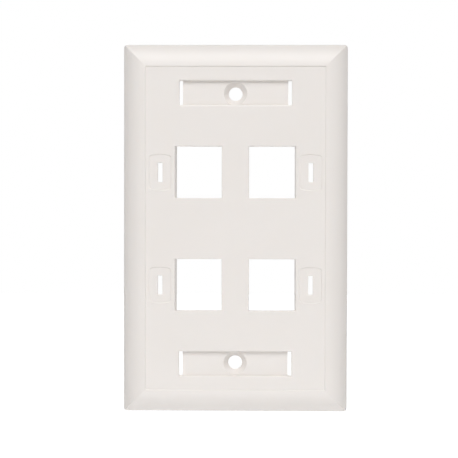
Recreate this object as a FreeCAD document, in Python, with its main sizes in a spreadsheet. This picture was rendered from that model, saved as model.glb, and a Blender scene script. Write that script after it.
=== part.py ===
"""Single-gang keystone faceplate for structured cabling, as a parametric document.

The faceplate is one moulding: a cushion edge with mitred corners round a sunken flat panel, four keystone
receptacles with their catches behind it, two label recesses with a countersunk screw hole in each, four marker
seats, and the ribs that stiffen its open back.

Millimetres. X runs across the plate and Z up it. The wall face of the skirt lies at Y = 0, the front looks
towards -Y, and the origin is midway between the two screws. A sketch on the XZ plane therefore has its local
x along X, its local y along Z and its normal towards the front. Heights called "out" are above the wall face.
"""
import FreeCAD, Part

import math
import os

import Sketcher

NODE = "faceplate"

# Each size that can be set by itself: alias, value in millimetres or degrees, meaning.
SIZES = (
    ("plate_width", 69.85, "outline, across"),
    ("plate_height", 114.30, "outline, up"),
    ("plate_rise", 6.50, "crest of the cushion edge, out from the wall"),
    ("wall", 2.00, "thickness of the shell"),
    ("corner_radius", 1.30, "outline corners, at the wall"),
    ("skirt_rise", 3.45, "skirt, from the wall to the shoulder"),
    ("skirt_draft", 5.0, "draft of the skirt in degrees, narrower towards the front"),
    ("shoulder_radius", 1.00, "rounding between the skirt and the cushion edge"),
    ("edge_width", 7.10, "cushion edge, outline to crest"),
    ("panel_step", 0.27, "panel below the crest"),
    ("step_slope", 35.0, "lean in degrees of the low walls round the panel and the marker seats"),
    ("screw_spacing", 83.34, "screw centres, 3 9/32 in"),
    ("screw_hole", 4.30, "clearance hole diameter for a number 6 screw"),
    ("screw_head", 7.20, "countersink diameter for an oval head"),
    ("screw_head_angle", 82.0, "countersink angle in degrees"),
    ("boss_diameter", 10.0, "screw boss behind the panel"),
    ("boss_out", 1.50, "rear end of the screw boss, out from the wall"),
    ("label_width", 34.80, "label recess, across"),
    ("label_height", 7.40, "floor of the label recess, up"),
    ("label_spacing", 83.60, "label recess centres, up"),
    ("label_depth", 1.10, "label recess below the panel"),
    ("label_edge_radius", 0.50, "rounding of the label recess's long front edges"),
    ("label_floor", 1.70, "moulding behind the label recess"),
    ("label_margin", 1.50, "moulding beside the label recess"),
    ("clip_slot_width", 1.15, "slot for the label cover's clip, across"),
    ("clip_slot_height", 7.60, "slot for the label cover's clip, up"),
    ("port_width", 14.40, "keystone opening, across"),
    ("port_height", 15.95, "keystone opening, up"),
    ("port_spacing_across", 22.80, "keystone centres, across"),
    ("port_spacing_up", 34.80, "keystone centres, up"),
    ("port_depth", 9.90, "keystone receptacle, panel front to rear end"),
    ("port_edge_radius", 0.25, "rounding of the keystone openings' front edges"),
    ("collar_wall", 1.50, "receptacle walls at the sides and over the latch"),
    ("hook_wall", 2.40, "receptacle wall under the opening"),
    ("lip_depth", 2.60, "lip under the opening, below the panel front"),
    ("lip_rise", 0.80, "lip above the receptacle's floor"),
    ("hook_slot_start", 6.50, "front of the slot for the jack's fixed hook, below the panel front"),
    ("hook_slot_width", 12.00, "slot for the jack's fixed hook, across"),
    ("catch_start", 8.00, "front of both catches, below the panel front"),
    ("latch_start", 4.00, "front of the latch chamber, below the panel front"),
    ("latch_reach", 4.00, "latch chamber above the opening"),
    ("catch_reach", 2.00, "bite of the catch behind the latch"),
    ("window_width", 9.00, "release window over the latch, across"),
    ("window_inset", 0.70, "release window inside the chamber's ends"),
    ("marker_offset", 11.85, "marker seat, outwards from the keystone centre"),
    ("marker_drop", 0.10, "marker seat, below the keystone centre"),
    ("marker_width", 6.90, "marker seat, across"),
    ("marker_height", 11.30, "marker seat, up at its middle"),
    ("marker_arch", 11.50, "radius of the marker seat's arched ends"),
    ("marker_corner", 0.80, "corner radius of the marker seat"),
    ("marker_depth", 0.20, "marker seat below the panel"),
    ("marker_slot_width", 1.45, "slot through the marker seat, across"),
    ("marker_slot_height", 5.90, "slot through the marker seat, up"),
    ("marker_slot_edge", 0.15, "rounding of the marker slot's front edges"),
    ("rib_thickness", 1.20, "stiffening ribs"),
    ("rib_out", 2.20, "rear edge of the ribs, out from the wall"),
    ("cut_margin", 3.00, "how far a cutting profile runs past the moulding"),
)

# Places that follow from the sizes, as formulas for the document's expressions.
PANEL_OUT = "(sizes.plate_rise - sizes.panel_step)"
SHOULDER_IN = "sizes.skirt_rise * tan(sizes.skirt_draft)"
HALF_PANEL = "(sizes.wall - sizes.panel_step) / 2"
PORT_X = "sizes.port_spacing_across / 2"
PORT_Z = "sizes.port_spacing_up / 2"
COLLAR_TOP = "(sizes.port_height / 2 + sizes.latch_reach + sizes.collar_wall)"
COLLAR_FOOT = "(sizes.port_height / 2 + sizes.hook_wall)"
MARKER_X = "sizes.port_spacing_across / 2 + sizes.marker_offset"


def fill_sheet(document):
    """The driving dimensions, one row each, with the name that expressions use."""
    sheet = document.addObject("Spreadsheet::Sheet", "sizes")
    for row, (alias, number, meaning) in enumerate(SIZES, start=1):
        sheet.set(f"A{row}", meaning)
        sheet.set(f"B{row}", str(number))
        sheet.setAlias(f"B{row}", alias)
    document.recompute()
    return sheet


# ---- sketches -------------------------------------------------------------------------------------------


def origin_part(body, role):
    """One of the body's own origin planes or axes."""
    return next(feature for feature in body.Origin.OriginFeatures if feature.Role == role)


def front_sketch(body, name, across="0", up="0", out="0"):
    """A sketch that faces the front, with its own origin at these expressions."""
    sketch = body.newObject("Sketcher::SketchObject", name)
    sketch.AttachmentSupport = [(origin_part(body, "XZ_Plane"), "")]
    sketch.MapMode = "FlatFace"
    for axis, expression in zip("xyz", (across, up, out)):
        sketch.setExpression(f"AttachmentOffset.Base.{axis}", expression)
    return sketch


def section_sketch(body, name, plane, axis, turn):
    """A sketch across the moulding, turned so that its local y points out from the wall."""
    sketch = body.newObject("Sketcher::SketchObject", name)
    sketch.AttachmentSupport = [(origin_part(body, plane), "")]
    sketch.MapMode = "FlatFace"
    sketch.AttachmentOffset = FreeCAD.Placement(FreeCAD.Vector(), FreeCAD.Rotation(axis, turn))
    return sketch


def dimension(sketch, name, expression, kind, *where):
    """A named dimension of the sketch, bound to an expression."""
    size = sketch.evalExpression(expression)
    if kind == "Angle":
        size = math.radians(size)
    index = sketch.addConstraint(Sketcher.Constraint(kind, *where, size))
    sketch.renameConstraint(index, name)
    sketch.setExpression(f"Constraints.{name}", expression)


def add_loop(sketch, corners):
    """Straight edges from corner to corner and back to the first, joined at their ends."""
    first = sketch.GeometryCount
    count = len(corners)
    for start, end in zip(corners, corners[1:] + corners[:1]):
        sketch.addGeometry(Part.LineSegment(FreeCAD.Vector(*start, 0), FreeCAD.Vector(*end, 0)), False)
    for side in range(count):
        sketch.addConstraint(Sketcher.Constraint("Coincident", first + side, 2, first + (side + 1) % count, 1))
    return first


def add_rectangle(sketch, width, height):
    """A rectangle centred on the sketch's origin."""
    bottom = add_loop(sketch, [(-1, -1), (1, -1), (1, 1), (-1, 1)])
    right, top, left = bottom + 1, bottom + 2, bottom + 3
    for level in (bottom, top):
        sketch.addConstraint(Sketcher.Constraint("Horizontal", level))
    for upright in (right, left):
        sketch.addConstraint(Sketcher.Constraint("Vertical", upright))
    sketch.addConstraint(Sketcher.Constraint("Symmetric", bottom, 1, top, 1, -1, 1))
    dimension(sketch, f"width_{bottom}", width, "DistanceX", bottom, 1, bottom, 2)
    dimension(sketch, f"height_{bottom}", height, "DistanceY", right, 1, right, 2)


def add_circle(sketch, diameter):
    """A circle centred on the sketch's origin."""
    circle = sketch.addGeometry(Part.Circle(FreeCAD.Vector(), FreeCAD.Vector(0, 0, 1), 1), False)
    sketch.addConstraint(Sketcher.Constraint("Coincident", circle, 3, -1, 1))
    dimension(sketch, "diameter", diameter, "Diameter", circle)


def add_rounded_shape(sketch, sheet, width, height, corner, arch=None):
    """A rectangle with rounded corners, centred on the sketch's origin; with arch, its ends are arcs.

    Width and height are measured at the middle of the sides. Each is the alias of a size.
    """
    half_width, half_height, radius = sheet.get(width) / 2, sheet.get(height) / 2, sheet.get(corner)
    level = FreeCAD.Vector(0, 0, 1)
    sides, ends, corners = [], [], []
    for sign in (1, -1):
        start = FreeCAD.Vector(sign * half_width, -sign * (half_height - radius), 0)
        end = FreeCAD.Vector(sign * half_width, sign * (half_height - radius), 0)
        sides.append(sketch.addGeometry(Part.LineSegment(start, end), False))
    for sign in (1, -1):
        start = FreeCAD.Vector(sign * (half_width - radius), sign * half_height, 0)
        end = FreeCAD.Vector(-sign * (half_width - radius), sign * half_height, 0)
        if arch is None:
            ends.append(sketch.addGeometry(Part.LineSegment(start, end), False))
            continue
        reach = sheet.get(arch)
        centre = FreeCAD.Vector(0, sign * (half_height - reach), 0)
        swing = math.asin((half_width - radius) / (reach - radius))
        middle = sign * math.pi / 2
        circle = Part.Circle(centre, level, reach)
        ends.append(sketch.addGeometry(Part.ArcOfCircle(circle, middle - swing, middle + swing), False))
    quarters = ((1, 1, 0.0), (-1, 1, 0.5), (-1, -1, 1.0), (1, -1, 1.5))
    for across, up, begin in quarters:
        centre = FreeCAD.Vector(across * (half_width - radius), up * (half_height - radius), 0)
        circle = Part.Circle(centre, level, radius)
        arc = Part.ArcOfCircle(circle, begin * math.pi, (begin + 0.5) * math.pi)
        corners.append(sketch.addGeometry(arc, False))
    round_the_shape = (sides[0], corners[0], ends[0], corners[1], sides[1], corners[2], ends[1], corners[3])
    for edge, following in zip(round_the_shape, round_the_shape[1:] + round_the_shape[:1]):
        sketch.addConstraint(Sketcher.Constraint("Tangent", edge, 2, following, 1))
    for other in corners[1:]:
        sketch.addConstraint(Sketcher.Constraint("Equal", corners[0], other))
    sketch.addConstraint(Sketcher.Constraint("Symmetric", sides[0], 1, sides[0], 2, -1))
    sketch.addConstraint(Sketcher.Constraint("Symmetric", sides[0], 2, sides[1], 2, -1, 1))
    sketch.addConstraint(Sketcher.Constraint("Symmetric", sides[0], 1, sides[1], 1, -1, 1))
    dimension(sketch, "width", f"sizes.{width}", "DistanceX", sides[1], 1, sides[0], 2)
    dimension(sketch, "corner", f"sizes.{corner}", "Radius", corners[0])
    if arch is None:
        dimension(sketch, "height", f"sizes.{height}", "DistanceY", ends[1], 1, ends[0], 1)
    else:
        sketch.addConstraint(Sketcher.Constraint("Equal", ends[0], ends[1]))
        dimension(sketch, "arch", f"sizes.{arch}", "Radius", ends[0])
        rise = f"sizes.{height} - 2 * sizes.{arch}"
        dimension(sketch, "rise", rise, "DistanceY", ends[1], 3, ends[0], 3)


def add_cushion_section(sketch, sheet, half_outline):
    """What is cut away outside the cushion edge: local x is across, local y is out.

    One arc climbs from the shoulder and lies level where it meets the crest. The other four edges run round
    outside the moulding, back to the shoulder.
    """
    margin, width = sheet.get("cut_margin"), sheet.get("edge_width")
    shoulder, crest, outline = sheet.get("skirt_rise"), sheet.get("plate_rise"), sheet.get(half_outline) / 2
    inside, climb = outline - width, crest - shoulder
    corner = outline - float(sketch.evalExpression(SHOULDER_IN))
    reach = corner - inside
    radius = (reach ** 2 + climb ** 2) / (2 * climb)
    circle = Part.Circle(FreeCAD.Vector(inside, crest - radius, 0), FreeCAD.Vector(0, 0, 1), radius)
    foot = math.acos(reach / radius)
    arc = sketch.addGeometry(Part.ArcOfCircle(circle, foot, math.pi / 2), False)
    above, beside = crest + margin, corner + margin
    points = [(inside, crest), (inside, above), (beside, above), (beside, shoulder), (corner, shoulder)]
    edges = []
    for begin, finish in zip(points, points[1:]):
        line = Part.LineSegment(FreeCAD.Vector(*begin, 0), FreeCAD.Vector(*finish, 0))
        edges.append(sketch.addGeometry(line, False))
    rise, top, drop, floor = edges
    for edge, following in zip([arc, *edges], edges):
        sketch.addConstraint(Sketcher.Constraint("Coincident", edge, 2, following, 1))
    sketch.addConstraint(Sketcher.Constraint("Coincident", floor, 2, arc, 1))
    for upright in (rise, drop):
        sketch.addConstraint(Sketcher.Constraint("Vertical", upright))
    for level in (top, floor):
        sketch.addConstraint(Sketcher.Constraint("Horizontal", level))
    sketch.addConstraint(Sketcher.Constraint("Vertical", arc, 3, arc, 2))
    shoulder_across = f"sizes.{half_outline} / 2 - {SHOULDER_IN}"
    dimension(sketch, "shoulder_across", shoulder_across, "DistanceX", -1, 1, arc, 1)
    dimension(sketch, "shoulder_out", "sizes.skirt_rise", "DistanceY", -1, 1, arc, 1)
    dimension(sketch, "crest_across", f"sizes.edge_width - {SHOULDER_IN}", "DistanceX", arc, 2, arc, 1)
    dimension(sketch, "crest_out", "sizes.plate_rise", "DistanceY", -1, 1, arc, 2)
    dimension(sketch, "clear_above", "sizes.cut_margin", "DistanceY", rise, 1, rise, 2)
    dimension(sketch, "clear_beside", "sizes.cut_margin", "DistanceX", arc, 1, drop, 2)


def add_lipped_section(sketch, sheet, floor, height, lip):
    """A trough with rounded lips, symmetrical about local y: local x is across it, local y is out.

    Its floor lies at the given height out and its lips end on the panel; the cut runs on past the crest.
    """
    half, radius, margin = sheet.get(height) / 2, sheet.get(lip), sheet.get("cut_margin")
    base, panel = float(sketch.evalExpression(floor)), float(sketch.evalExpression(PANEL_OUT))
    above = panel + margin
    level = FreeCAD.Vector(0, 0, 1)
    edges = []
    for sign in (1, -1):
        points = [(sign * half, base), (sign * half, panel - radius)]
        points += [(sign * (half + radius), panel), (sign * (half + radius), above)]
        foot, wall_top, lip_end, top = (FreeCAD.Vector(*point, 0) for point in points)
        centre = FreeCAD.Vector(sign * (half + radius), panel - radius, 0)
        swing = (math.pi / 2, math.pi) if sign > 0 else (0, math.pi / 2)
        wall = sketch.addGeometry(Part.LineSegment(foot, wall_top), False)
        arc = sketch.addGeometry(Part.ArcOfCircle(Part.Circle(centre, level, radius), *swing), False)
        rise = sketch.addGeometry(Part.LineSegment(lip_end, top), False)
        near, far = (2, 1) if sign > 0 else (1, 2)
        sketch.addConstraint(Sketcher.Constraint("Tangent", wall, 2, arc, near))
        sketch.addConstraint(Sketcher.Constraint("Coincident", arc, far, rise, 1))
        sketch.addConstraint(Sketcher.Constraint("Vertical", wall))
        edges.append((wall, arc, rise, far))
    (wall, arc, rise, far), (other_wall, other_arc, other_rise, other_far) = edges
    sketch.addConstraint(Sketcher.Constraint("Vertical", rise))
    ends = [(wall, 1, other_wall, 1), (rise, 2, other_rise, 2)]
    for edge, end, other, other_end in ends:
        start, stop = sketch.getPoint(edge, end), sketch.getPoint(other, other_end)
        bridge = sketch.addGeometry(Part.LineSegment(start, stop), False)
        sketch.addConstraint(Sketcher.Constraint("Coincident", edge, end, bridge, 1))
        sketch.addConstraint(Sketcher.Constraint("Coincident", bridge, 2, other, other_end))
        sketch.addConstraint(Sketcher.Constraint("Symmetric", bridge, 1, bridge, 2, -2))
    sketch.addConstraint(Sketcher.Constraint("Symmetric", arc, far, other_arc, other_far, -2))
    sketch.addConstraint(Sketcher.Constraint("Vertical", arc, far, arc, 3))
    sketch.addConstraint(Sketcher.Constraint("Equal", arc, other_arc))
    dimension(sketch, "lip", f"sizes.{lip}", "Radius", arc)
    dimension(sketch, "width", f"sizes.{height}", "DistanceX", other_wall, 1, wall, 1)
    dimension(sketch, "floor_out", floor, "DistanceY", -1, 1, wall, 1)
    dimension(sketch, "panel_out", PANEL_OUT, "DistanceY", -1, 1, arc, far)
    dimension(sketch, "clear_above", "sizes.cut_margin", "DistanceY", rise, 1, rise, 2)


# ---- features -------------------------------------------------------------------------------------------


def add_pad(body, name, sketch, length):
    """Material from the sketch towards the front."""
    feature = body.newObject("PartDesign::Pad", name)
    feature.Profile = sketch
    feature.setExpression("Length", length)
    return feature


def add_pocket(body, name, sketch, depth=None):
    """A cut from the sketch towards the wall: to a depth, or right through."""
    feature = body.newObject("PartDesign::Pocket", name)
    feature.Profile = sketch
    if depth is None:
        feature.Type = "ThroughAll"
    else:
        feature.setExpression("Length", depth)
    return feature


def lean(pocket):
    """The pocket with its walls leaning inwards towards its floor."""
    pocket.setExpression("TaperAngle", "-sizes.step_slope")
    return pocket


def add_mirrored(body, name, originals, plane):
    """The same features on the other side of one of the body's origin planes."""
    feature = body.newObject("PartDesign::Mirrored", name)
    feature.Originals = originals
    feature.MirrorPlane = (origin_part(body, plane), [""])
    body.Tip = feature
    return feature


def add_linear_pattern(body, name, originals, across, up):
    """Two by two copies: across and up are the spacings."""
    feature = body.newObject("PartDesign::LinearPattern", name)
    feature.Originals = originals
    feature.Direction = (origin_part(body, "X_Axis"), [""])
    feature.Direction2 = (origin_part(body, "Z_Axis"), [""])
    feature.Occurrences = 2
    feature.Occurrences2 = 2
    feature.setExpression("Length", across)
    feature.setExpression("Length2", up)
    body.Tip = feature
    return feature


def add_fillet(body, name, edges, radius):
    """Rounded edges on the body's last feature; edges picks their names from its shape."""
    solid = body.Tip
    feature = body.newObject("PartDesign::Fillet", name)
    feature.Base = (solid, edges(solid.Shape))
    feature.setExpression("Radius", radius)
    return feature


# ---- picking faces and edges ----------------------------------------------------------------------------

NEAR = 1e-4


def wall_face(shape):
    """The name of the flat face that lies on the wall plane."""
    for number, face in enumerate(shape.Faces, start=1):
        box = face.BoundBox
        if abs(box.YMin) < NEAR and abs(box.YMax) < NEAR:
            return [f"Face{number}"]
    return []


def upright_faces(shape):
    """The names of the faces that rise from the wall plane."""
    return [f"Face{number}" for number, face in enumerate(shape.Faces, start=1) if face.BoundBox.YLength > NEAR]


def edges_where(test):
    """A function that lists the names of a shape's edges whose box passes the test."""
    def pick(shape):
        return [f"Edge{number}" for number, edge in enumerate(shape.Edges, start=1) if test(edge.BoundBox)]
    return pick


# ---- the moulding ---------------------------------------------------------------------------------------


def cut_cushions(body, sections, name):
    """The cushion edge on all four sides: each section cuts one side and is mirrored to the other."""
    for side, sketch, plane in zip(("side", "end"), sections, ("YZ_Plane", "XY_Plane")):
        cushion = add_pocket(body, f"{side}_{name}", sketch)
        cushion.SideType = "Symmetric"
        add_mirrored(body, f"{side}_{name}s", [cushion], plane)


def build_shell(document, body, sheet):
    """The cushion-edged shell, open at the back, with ribs, rounded outline corners and a sunken panel."""
    outline = front_sketch(body, "outline")
    add_rectangle(outline, "sizes.plate_width", "sizes.plate_height")
    blank = add_pad(body, "blank", outline, "sizes.plate_rise")
    document.recompute()
    skirt = body.newObject("PartDesign::Draft", "drafted_skirt")
    skirt.Base = (blank, upright_faces(blank.Shape))
    skirt.NeutralPlane = (origin_part(body, "XZ_Plane"), [""])
    skirt.setExpression("Angle", "sizes.skirt_draft")
    document.recompute()

    sides = section_sketch(body, "side_section", "XY_Plane", FreeCAD.Vector(1, 0, 0), 180)
    add_cushion_section(sides, sheet, "plate_width")
    ends = section_sketch(body, "end_section", "YZ_Plane", FreeCAD.Vector(0, 0, 1), 90)
    add_cushion_section(ends, sheet, "plate_height")
    cut_cushions(body, (sides, ends), "cushion")
    document.recompute()

    solid = body.Tip
    hollow = body.newObject("PartDesign::Thickness", "hollow")
    hollow.Base = (solid, wall_face(solid.Shape))
    hollow.setExpression("Value", "sizes.wall")
    hollow.Reversed = True
    hollow.Intersection = True
    document.recompute()

    # The ribs run from skirt to skirt, so what they push through the cushion edge is cut off again.
    runs = (
        ("upright", "sizes.rib_thickness", "sizes.plate_height - sizes.wall"),
        ("level", "sizes.plate_width - sizes.wall", "sizes.rib_thickness"),
    )
    for name, width, height in runs:
        sketch = front_sketch(body, f"{name}_rib_outline", out="sizes.rib_out")
        add_rectangle(sketch, width, height)
        add_pad(body, f"{name}_rib", sketch, f"{PANEL_OUT} - sizes.rib_out - {HALF_PANEL}")
    cut_cushions(body, (sides, ends), "trim")

    corners = front_sketch(body, "corner_section")
    both_margins = "2 * sizes.cut_margin"
    add_rectangle(corners, f"sizes.plate_width + {both_margins}", f"sizes.plate_height + {both_margins}")
    add_rounded_shape(corners, sheet, "plate_width", "plate_height", "corner_radius")
    rounding = add_pocket(body, "rounded_corners", corners, "sizes.plate_rise")
    rounding.Reversed = True
    rounding.setExpression("TaperAngle", "-sizes.skirt_draft")
    document.recompute()

    shoulder = -sheet.get("skirt_rise")
    inside_x = sheet.get("plate_width") / 2 - sheet.get("wall")
    inside_z = sheet.get("plate_height") / 2 - sheet.get("wall")

    def on_shoulder(box):
        outside = abs(box.Center.x) > inside_x or abs(box.Center.z) > inside_z
        return abs(box.YMax - shoulder) < NEAR and outside

    add_fillet(body, "rounded_shoulder", edges_where(on_shoulder), "sizes.shoulder_radius")

    panel = front_sketch(body, "panel_outline", out="sizes.plate_rise")
    add_rectangle(panel, *(f"sizes.{side} - 2 * sizes.edge_width" for side in ("plate_width", "plate_height")))
    lean(add_pocket(body, "sunken_panel", panel, "sizes.panel_step"))
    document.recompute()


def build_label_ends(document, body, sheet):
    """At each end: a label recess with clip slots and a countersunk screw hole on a boss."""
    label_z, screw_z = "sizes.label_spacing / 2", "sizes.screw_spacing / 2"
    floor_out = f"({PANEL_OUT} - sizes.label_depth)"

    block_out = f"{floor_out} - sizes.label_floor"
    block_face = front_sketch(body, "label_block_outline", up=label_z, out=block_out)
    width, height = "sizes.label_width + 2 * sizes.label_margin", "sizes.label_height + 2 * sizes.label_margin"
    add_rectangle(block_face, width, height)
    block = add_pad(body, "label_block", block_face, f"sizes.label_depth + sizes.label_floor - {HALF_PANEL}")

    boss_face = front_sketch(body, "boss_outline", up=screw_z, out="sizes.boss_out")
    add_circle(boss_face, "sizes.boss_diameter")
    boss = add_pad(body, "screw_boss", boss_face, f"{PANEL_OUT} - sizes.boss_out - {HALF_PANEL}")

    trough = section_sketch(body, "label_section", "YZ_Plane", FreeCAD.Vector(0, 0, 1), 90)
    trough.setExpression("AttachmentOffset.Base.y", label_z)
    add_lipped_section(trough, sheet, floor_out, "label_height", "label_edge_radius")
    recess = add_pocket(body, "label_recess", trough, "sizes.label_width")
    recess.SideType = "Symmetric"

    slots = []
    for side, sign in (("right", ""), ("left", "-")):
        across = f"{sign}(sizes.label_width - sizes.clip_slot_width) / 2"
        slot_outline = front_sketch(body, f"{side}_clip_outline", across, label_z, "sizes.plate_rise")
        add_rectangle(slot_outline, "sizes.clip_slot_width", "sizes.clip_slot_height")
        slots.append(add_pocket(body, f"{side}_clip_slot", slot_outline))

    hole_centre = front_sketch(body, "screw_centre", up=screw_z, out=floor_out)
    add_circle(hole_centre, "sizes.screw_hole")
    document.recompute()
    hole = body.newObject("PartDesign::Hole", "screw_hole")
    hole.Profile = hole_centre
    hole.DepthType = "ThroughAll"
    hole.HoleCutType = "Countersink"
    hole.HoleCutCustomValues = True
    hole.setExpression("Diameter", "sizes.screw_hole")
    hole.setExpression("HoleCutDiameter", "sizes.screw_head")
    hole.setExpression("HoleCutCountersinkAngle", "sizes.screw_head_angle")
    document.recompute()
    add_mirrored(body, "label_ends", [block, boss, recess, *slots, hole], "XY_Plane")
    document.recompute()


def build_ports(document, body, sheet):
    """Four keystone receptacles: a collar behind the panel with a latch chamber above and a hook slot below.

    The first is modelled at the lower left, and the others repeat it. Each cut of the receptacle starts at its
    depth below the panel front and runs towards the wall.
    """
    def port_sketch(name, top, foot, width, depth):
        """A rectangle between two heights over the keystone centre, at a depth below the panel front."""
        middle = f"-{PORT_Z} + (({top}) + ({foot})) / 2"
        sketch = front_sketch(body, name, f"-{PORT_X}", middle, f"{PANEL_OUT} - ({depth})")
        add_rectangle(sketch, width, f"({top}) - ({foot})")
        return sketch

    chamber_top = "sizes.port_height / 2 + sizes.latch_reach"
    collar_width = "sizes.port_width + 2 * sizes.collar_wall"
    collar_face = port_sketch("collar_outline", COLLAR_TOP, f"-{COLLAR_FOOT}", collar_width, "sizes.port_depth")
    collar = add_pad(body, "collar", collar_face, f"sizes.port_depth - {HALF_PANEL}")

    half_port = "sizes.port_height / 2"
    mouth = port_sketch("port_outline", half_port, f"-{half_port}", "sizes.port_width", "-sizes.panel_step")
    cuts = [add_pocket(body, "port_opening", mouth)]

    under_lip = f"-{half_port} - sizes.lip_rise"
    floor = port_sketch("floor_outline", "0", under_lip, "sizes.port_width", "sizes.lip_depth")
    cuts.append(add_pocket(body, "receptacle_floor", floor))

    chamber = port_sketch("chamber_outline", chamber_top, "0", "sizes.port_width", "sizes.latch_start")
    cuts.append(add_pocket(body, "latch_chamber", chamber, "sizes.catch_start - sizes.latch_start"))

    over_catch = f"{chamber_top} - sizes.catch_reach"
    back = port_sketch("rear_outline", over_catch, "0", "sizes.port_width", "sizes.catch_start")
    cuts.append(add_pocket(body, "rear_opening", back))

    below = f"-{COLLAR_FOOT} - sizes.cut_margin"
    hook = port_sketch("hook_outline", "0", below, "sizes.hook_slot_width", "sizes.hook_slot_start")
    cuts.append(add_pocket(body, "hook_slot", hook, "sizes.catch_start - sizes.hook_slot_start"))

    over_collar, window_start = f"{COLLAR_TOP} + sizes.cut_margin", "sizes.latch_start + sizes.window_inset"
    window = port_sketch("window_outline", over_collar, "0", "sizes.window_width", window_start)
    window_length = "sizes.catch_start - sizes.latch_start - 2 * sizes.window_inset"
    cuts.append(add_pocket(body, "release_window", window, window_length))

    spacings = ("sizes.port_spacing_across", "sizes.port_spacing_up")
    add_linear_pattern(body, "ports", [collar, *cuts], *spacings)
    document.recompute()

    panel = sheet.get("panel_step") - sheet.get("plate_rise")
    centre_x, reach_x = sheet.get("port_spacing_across") / 2, sheet.get("port_width") / 2 + NEAR
    centre_z, reach_z = sheet.get("port_spacing_up") / 2, sheet.get("port_height") / 2 + NEAR

    def round_a_mouth(box):
        beside = abs(abs(box.Center.x) - centre_x) < reach_x and abs(abs(box.Center.z) - centre_z) < reach_z
        return beside and abs(box.YMin - panel) < NEAR and abs(box.YMax - panel) < NEAR

    add_fillet(body, "rounded_mouths", edges_where(round_a_mouth), "sizes.port_edge_radius")
    document.recompute()


def build_markers(document, body, sheet):
    """A shallow seat with a slot through it, outwards of each port, for a snap-in marker."""
    place = (f"-({MARKER_X})", f"-{PORT_Z} - sizes.marker_drop")
    seat_outline = front_sketch(body, "marker_outline", *place, PANEL_OUT)
    add_rounded_shape(seat_outline, sheet, "marker_width", "marker_height", "marker_corner", "marker_arch")
    seat = lean(add_pocket(body, "marker_seat", seat_outline, "sizes.marker_depth"))
    slot_outline = front_sketch(body, "marker_slot_outline", *place, "sizes.plate_rise")
    add_rectangle(slot_outline, "sizes.marker_slot_width", "sizes.marker_slot_height")
    slot = add_pocket(body, "marker_slot", slot_outline)
    add_linear_pattern(body, "markers", [seat, slot], f"2 * ({MARKER_X})", "sizes.port_spacing_up")
    document.recompute()

    seat_out = -float(seat_outline.evalExpression(f"{PANEL_OUT} - sizes.marker_depth"))
    centre_x = float(seat_outline.evalExpression(MARKER_X))
    reach_x = sheet.get("marker_slot_width") / 2 + NEAR

    def round_a_slot(box):
        beside = abs(abs(box.Center.x) - centre_x) < reach_x
        return beside and abs(box.YMin - seat_out) < NEAR and abs(box.YMax - seat_out) < NEAR

    add_fillet(body, "rounded_slots", edges_where(round_a_slot), "sizes.marker_slot_edge")
    document.recompute()


def check(document, body):
    """Stop unless every feature was computed and the moulding is one valid solid."""
    failed = [item.Name for item in document.Objects if {"Invalid", "Error"} & set(item.State)]
    if failed:
        raise RuntimeError(f"not computed: {failed}")
    if body.Shape.isNull() or not body.Shape.isValid() or len(body.Shape.Solids) != 1:
        raise RuntimeError("the moulding is not one valid solid")


def main():
    """Build the document and write the moulding to parts/."""
    document = FreeCAD.newDocument("keystone_faceplate")
    sheet = fill_sheet(document)
    body = document.addObject("PartDesign::Body", NODE)
    body.Label = NODE
    body.Placement = FreeCAD.Placement()
    build_shell(document, body, sheet)
    build_label_ends(document, body, sheet)
    build_ports(document, body, sheet)
    build_markers(document, body, sheet)
    document.recompute()
    check(document, body)
    os.makedirs("parts", exist_ok=True)
    body.Shape.exportStep(f"parts/{NODE}.step")
    print(f"{NODE}: {body.Shape.Volume:.1f} mm3, {len(body.Shape.Faces)} faces")


main()
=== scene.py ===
"""Keystone faceplate: the finish of its white moulding, and the pale stage it is seen on.

Metres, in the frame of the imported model: X across the plate, Z up it, the front towards -Y and the wall face
of the skirt at Y = 0.
"""
import math
from typing import NamedTuple

import bpy
from bpy.props import FloatProperty, FloatVectorProperty, PointerProperty
from mathutils import Matrix, Vector

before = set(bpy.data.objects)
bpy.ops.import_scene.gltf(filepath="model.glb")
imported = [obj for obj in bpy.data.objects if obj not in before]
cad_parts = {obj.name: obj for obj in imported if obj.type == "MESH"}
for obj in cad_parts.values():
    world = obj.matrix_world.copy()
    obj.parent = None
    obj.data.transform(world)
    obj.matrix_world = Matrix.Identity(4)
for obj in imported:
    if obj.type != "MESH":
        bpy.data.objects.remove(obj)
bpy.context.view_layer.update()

bl_info = {
    "name": "Keystone faceplate",
    "version": (1, 0, 0),
    "blender": (4, 5, 0),
    "location": "3D View > Sidebar > Faceplate",
    "description": "Finishes a white keystone faceplate and sets up its studio stage",
    "category": "Object",
}

MILLIMETRE = 0.001
WHITE = (1.0, 1.0, 1.0, 1.0)


# ---- settings -------------------------------------------------------------------------------------------


class MouldingSettings(bpy.types.PropertyGroup):
    """The white thermoplastic of the faceplate."""

    colour: FloatVectorProperty(
        name="Colour", description="Colour of the moulded plastic", subtype="COLOR",
        default=(0.84, 0.80, 0.768), min=0.0, max=1.0)
    roughness: FloatProperty(
        name="Roughness", description="How soft the plastic's gloss is", subtype="FACTOR",
        default=0.40, min=0.0, max=1.0)
    gloss_drift: FloatProperty(
        name="Gloss drift", description="How far the roughness strays from place to place", subtype="FACTOR",
        default=0.03, min=0.0, max=1.0)
    grain_size: FloatProperty(
        name="Grain size", description="Width of the fine grain left by the mould", unit="LENGTH",
        default=0.25 * MILLIMETRE, min=0.01 * MILLIMETRE)
    grain_depth: FloatProperty(
        name="Grain depth", description="Height of the fine grain left by the mould", unit="LENGTH",
        default=0.002 * MILLIMETRE, min=0.0)
    skin_depth: FloatProperty(
        name="Skin depth", description="How far light spreads under the plastic's surface", unit="LENGTH",
        default=0.6 * MILLIMETRE, min=0.0)


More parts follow.
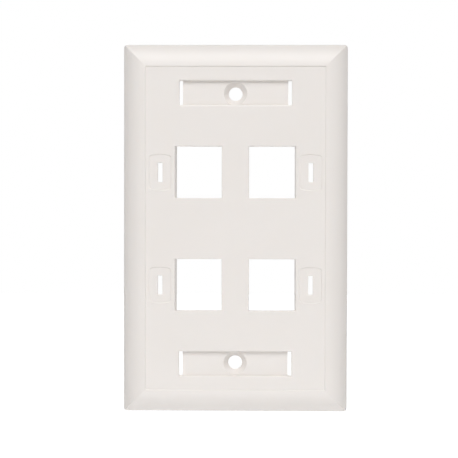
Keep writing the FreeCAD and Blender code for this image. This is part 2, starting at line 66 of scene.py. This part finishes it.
class StageSettings(bpy.types.PropertyGroup):
    """The floor, camera and surroundings of the faceplate."""

    camera_place: FloatVectorProperty(
        name="Camera place", description="Where the camera stands", subtype="TRANSLATION",
        default=(0.00514, -0.4, 0.00712))
    camera_aim: FloatVectorProperty(
        name="Camera aim", description="The point at the middle of the view", subtype="TRANSLATION",
        default=(-0.002048, 0.0, -0.000242))
    camera_roll: FloatProperty(
        name="Camera roll", description="Turn of the camera about its own line of sight", subtype="ANGLE",
        default=0.002)
    focal_length: FloatProperty(
        name="Focal length", description="Focal length of the camera's lens", unit="CAMERA",
        default=100.4, min=1.0)
    floor_drop: FloatProperty(
        name="Floor drop", description="Height of the plate's middle over the floor", unit="LENGTH",
        default=0.30, min=0.0)
    floor_size: FloatProperty(
        name="Floor size", description="Width and depth of the floor", unit="LENGTH", default=8.0, min=0.0)
    surroundings: FloatProperty(
        name="Surroundings", description="Even light from all round, where 1 is white", default=0.08, min=0.0)


class Softbox(NamedTuple):
    """A square soft lamp, placed by degrees to the right and up, as seen from the plate's front.

    Its distance from the plate's middle and its width are in metres.
    """

    name: str
    right: float
    up: float
    distance: float
    width: float
    watts: float
    in_gloss: bool = True


# The key lights the front from above, the two at its sides shape the cushion edge, and the reflectors lift
# the edges that face down. The one behind the plate stays out of the gloss of the receptacles' walls.
SOFTBOXES = (
    Softbox("key_softbox", right=0.0, up=45.0, distance=1.2, width=0.9, watts=9.9),
    Softbox("left_softbox", right=-35.0, up=35.0, distance=1.2, width=0.7, watts=1.6),
    Softbox("right_softbox", right=60.0, up=40.0, distance=1.2, width=0.4, watts=1.5),
    Softbox("low_reflector", right=0.0, up=-28.0, distance=0.5, width=0.2, watts=0.43),
    Softbox("under_reflector", right=0.0, up=-86.0, distance=0.27, width=0.3, watts=0.15),
    Softbox("back_softbox", right=180.0, up=15.0, distance=1.2, width=0.5, watts=9.0, in_gloss=False),
)


# ---- shader nodes ---------------------------------------------------------------------------------------


def new_node_tree(owner):
    """The nodes and the links of a new material or world."""
    owner.use_nodes = True
    return owner.node_tree.nodes, owner.node_tree.links


def add_node(nodes, kind, **sockets):
    """A node of this kind, with these numbers or colours on its sockets: an underscore stands for a space."""
    node = nodes.new(f"ShaderNode{kind}")
    for name, value in sockets.items():
        node.inputs[name.replace("_", " ")].default_value = value
    return node


def add_maths(nodes, operation, first, second):
    """A maths node on the values of two sockets, as the socket of its result."""
    node = nodes.new("ShaderNodeMath")
    node.operation = operation
    for value, place in zip((first, second), node.inputs):
        node.id_data.links.new(value, place)
    return node.outputs["Value"]


# ---- material -------------------------------------------------------------------------------------------

# The plastic's shade and gloss drift over patches of about 17 mm. The shade drifts by about a hundredth, over
# the values that the patches' noise mostly takes.
PATCHES_PER_METRE = 60.0
DARKEST_SHADE = (0.992, 0.991, 0.988)
LOW_NOISE, HIGH_NOISE = 0.3, 0.7

GRAIN_STRENGTH = 0.6
REFRACTIVE_INDEX = 1.49

# Light spreads a little under the surface, and red light the farthest.
SKIN_WEIGHT = 0.1
SKIN_REACH = (1.0, 0.85, 0.7)


def add_shade(nodes, links, patches, colour):
    """The plastic's colour, very slightly darker where the patches' noise is low."""
    shade = add_node(nodes, "ValToRGB")
    low, high = shade.color_ramp.elements
    low.position, high.position = LOW_NOISE, HIGH_NOISE
    low.color = (*(part * share for part, share in zip(colour, DARKEST_SHADE)), 1.0)
    high.color = (*colour, 1.0)
    links.new(patches, shade.inputs["Fac"])
    return shade.outputs["Color"]


def add_gloss(nodes, links, patches, roughness, drift):
    """A roughness that strays by the drift to both sides of its middle value."""
    gloss = add_node(nodes, "MapRange", To_Min=roughness - drift, To_Max=roughness + drift)
    links.new(patches, gloss.inputs["Value"])
    return gloss.outputs["Result"]


def add_grain(nodes, links, place, size, depth):
    """The normal of a very fine grain, like the one that a mould leaves."""
    grain = add_node(nodes, "TexNoise", Scale=1.0 / size, Detail=2.0)
    links.new(place, grain.inputs["Vector"])
    bump = add_node(nodes, "Bump", Strength=GRAIN_STRENGTH, Distance=depth)
    links.new(grain.outputs["Fac"], bump.inputs["Height"])
    return bump.outputs["Normal"]


def moulded_plastic(settings):
    """Satin white plastic: a soft gloss on a very fine grain, with light that spreads under its surface."""
    material = bpy.data.materials.new("moulded_white_plastic")
    nodes, links = new_node_tree(material)
    place = add_node(nodes, "TexCoord").outputs["Object"]
    noise = add_node(nodes, "TexNoise", Scale=PATCHES_PER_METRE, Detail=3.0)
    links.new(place, noise.inputs["Vector"])
    patches = noise.outputs["Fac"]

    shader = nodes["Principled BSDF"]
    shade = add_shade(nodes, links, patches, settings.colour)
    links.new(shade, shader.inputs["Base Color"])
    gloss = add_gloss(nodes, links, patches, settings.roughness, settings.gloss_drift)
    links.new(gloss, shader.inputs["Roughness"])
    grain = add_grain(nodes, links, place, settings.grain_size, settings.grain_depth)
    links.new(grain, shader.inputs["Normal"])

    shader.inputs["IOR"].default_value = REFRACTIVE_INDEX
    shader.inputs["Subsurface Weight"].default_value = SKIN_WEIGHT
    shader.inputs["Subsurface Radius"].default_value = SKIN_REACH
    shader.inputs["Subsurface Scale"].default_value = settings.skin_depth
    return material


class FACEPLATE_OT_finish_moulding(bpy.types.Operator):
    """Give the faceplate's moulding its white plastic"""

    bl_idname = "faceplate.finish_moulding"
    bl_label = "Finish moulding"

    def execute(self, context):
        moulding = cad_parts["faceplate"]
        material = moulded_plastic(context.scene.faceplate_moulding)
        for slot in moulding.material_slots:
            slot.material = material
        return {"FINISHED"}


# ---- stage ----------------------------------------------------------------------------------------------

# The floor is grey under lamps, and has a glow of its own for the camera that lights nothing: dim under the
# plate, where the shadow falls, and white farther off. Each pair is a distance in metres and the glow there.
FLOOR_GREY = (0.8, 0.8, 0.8, 1.0)
GLOW_NEAR = (0.5, 0.6)
GLOW_FAR = (1.1, 1.0)

# The camera's sensor is given in millimetres, as its focal length is, and the nearest that it sees in metres.
SENSOR_WIDTH = 36.0
NEAREST_SEEN = 0.01


def add_unlit_rays(nodes):
    """1 for rays that see the surroundings, straight or in a gloss, and 0 for rays that light the plate."""
    path = add_node(nodes, "LightPath").outputs
    straight_or_gloss = add_maths(nodes, "MAXIMUM", path["Is Camera Ray"], path["Is Glossy Ray"])
    return add_maths(nodes, "MAXIMUM", straight_or_gloss, path["Is Transmission Ray"])


def add_world(scene, settings):
    """Pale even light all round, plain white to the camera."""
    world = bpy.data.worlds.new("pale_surroundings")
    nodes, links = new_node_tree(world)
    lit = nodes["Background"]
    lit.inputs["Color"].default_value = WHITE
    lit.inputs["Strength"].default_value = settings.surroundings
    white = add_node(nodes, "Background", Color=WHITE)
    mix = add_node(nodes, "MixShader")
    links.new(add_unlit_rays(nodes), mix.inputs["Fac"])
    links.new(lit.outputs["Background"], mix.inputs[1])
    links.new(white.outputs["Background"], mix.inputs[2])
    links.new(mix.outputs["Shader"], nodes["World Output"].inputs["Surface"])
    scene.world = world


def pale_floor():
    """Matt grey, with a glow for the camera that grows with the distance from the middle."""
    material = bpy.data.materials.new("pale_floor")
    nodes, links = new_node_tree(material)
    matt = add_node(nodes, "BsdfDiffuse", Color=FLOOR_GREY)
    distance = add_node(nodes, "VectorMath")
    distance.operation = "LENGTH"
    links.new(add_node(nodes, "TexCoord").outputs["Object"], distance.inputs[0])
    (near, dim), (far, bright) = GLOW_NEAR, GLOW_FAR
    whiter = add_node(nodes, "MapRange", From_Min=near, From_Max=far, To_Min=dim, To_Max=bright)
    links.new(distance.outputs["Value"], whiter.inputs["Value"])
    glow = add_node(nodes, "Emission")
    seen = add_maths(nodes, "MULTIPLY", whiter.outputs["Result"], add_unlit_rays(nodes))
    links.new(seen, glow.inputs["Strength"])
    both = add_node(nodes, "AddShader")
    links.new(matt.outputs["BSDF"], both.inputs[0])
    links.new(glow.outputs["Emission"], both.inputs[1])
    links.new(both.outputs["Shader"], nodes["Material Output"].inputs["Surface"])
    nodes.remove(nodes["Principled BSDF"])
    return material


def add_floor(scene, settings):
    """A level matt floor under the plate, which keeps the plate's shadow."""
    half = settings.floor_size / 2
    corners = [(-half, -half, 0), (half, -half, 0), (half, half, 0), (-half, half, 0)]
    mesh = bpy.data.meshes.new("floor")
    mesh.from_pydata(corners, [], [(0, 1, 2, 3)])
    mesh.materials.append(pale_floor())
    floor = bpy.data.objects.new("floor", mesh)
    floor.location.z = -settings.floor_drop
    scene.collection.objects.link(floor)


def facing(place, target):
    """The matrix of a lamp or a camera that stands at a place and looks at the target."""
    turn = (place - target).to_track_quat("Z", "Y").to_matrix().to_4x4()
    return Matrix.Translation(place) @ turn


def add_softbox(scene, box):
    """The lamp of a softbox: it faces the plate's middle, and the camera doesn't see it."""
    lamp = bpy.data.lights.new(box.name, "AREA")
    lamp.size = box.width
    lamp.energy = box.watts
    holder = bpy.data.objects.new(box.name, lamp)
    holder.visible_camera = False
    holder.visible_glossy = box.in_gloss
    right, up = math.radians(box.right), math.radians(box.up)
    outwards = Vector((math.sin(right) * math.cos(up), -math.cos(right) * math.cos(up), math.sin(up)))
    holder.matrix_world = facing(box.distance * outwards, Vector())
    scene.collection.objects.link(holder)


def add_camera(scene, settings):
    """The camera, level but for its small roll, aimed at its point."""
    camera = bpy.data.cameras.new("camera")
    camera.sensor_width = SENSOR_WIDTH
    camera.lens = settings.focal_length
    camera.clip_start = NEAREST_SEEN
    holder = bpy.data.objects.new("camera", camera)
    level = facing(Vector(settings.camera_place), Vector(settings.camera_aim))
    holder.matrix_world = level @ Matrix.Rotation(settings.camera_roll, 4, "Z")
    scene.collection.objects.link(holder)
    scene.camera = holder


class FACEPLATE_OT_set_stage(bpy.types.Operator):
    """Set the floor, the lamps, the surroundings and the camera"""

    bl_idname = "faceplate.set_stage"
    bl_label = "Set stage"

    def execute(self, context):
        scene, settings = context.scene, context.scene.faceplate_stage
        scene.view_settings.view_transform = "Standard"
        add_world(scene, settings)
        add_floor(scene, settings)
        for box in SOFTBOXES:
            add_softbox(scene, box)
        add_camera(scene, settings)
        return {"FINISHED"}


# ---- add-on ---------------------------------------------------------------------------------------------


class FACEPLATE_PT_sidebar(bpy.types.Panel):
    """The faceplate's settings and steps"""

    bl_idname = "FACEPLATE_PT_sidebar"
    bl_label = "Faceplate"
    bl_space_type = "VIEW_3D"
    bl_region_type = "UI"
    bl_category = "Faceplate"

    def draw(self, context):
        layout, scene = self.layout, context.scene
        for settings in (scene.faceplate_moulding, scene.faceplate_stage):
            for name in type(settings).__annotations__:
                layout.prop(settings, name)
        layout.operator(FACEPLATE_OT_finish_moulding.bl_idname)
        layout.operator(FACEPLATE_OT_set_stage.bl_idname)


CLASSES = (
    MouldingSettings,
    StageSettings,
    FACEPLATE_OT_finish_moulding,
    FACEPLATE_OT_set_stage,
    FACEPLATE_PT_sidebar,
)


def register():
    """Add the settings, the steps and the panel to Blender."""
    for kind in CLASSES:
        bpy.utils.register_class(kind)
    bpy.types.Scene.faceplate_moulding = PointerProperty(type=MouldingSettings)
    bpy.types.Scene.faceplate_stage = PointerProperty(type=StageSettings)


def unregister():
    """Take the settings, the steps and the panel out of Blender again."""
    del bpy.types.Scene.faceplate_stage
    del bpy.types.Scene.faceplate_moulding
    for kind in reversed(CLASSES):
        bpy.utils.unregister_class(kind)


def main():
    """Run every step."""
    register()
    bpy.ops.faceplate.finish_moulding()
    bpy.ops.faceplate.set_stage()


if __name__ == "__main__":
    main()
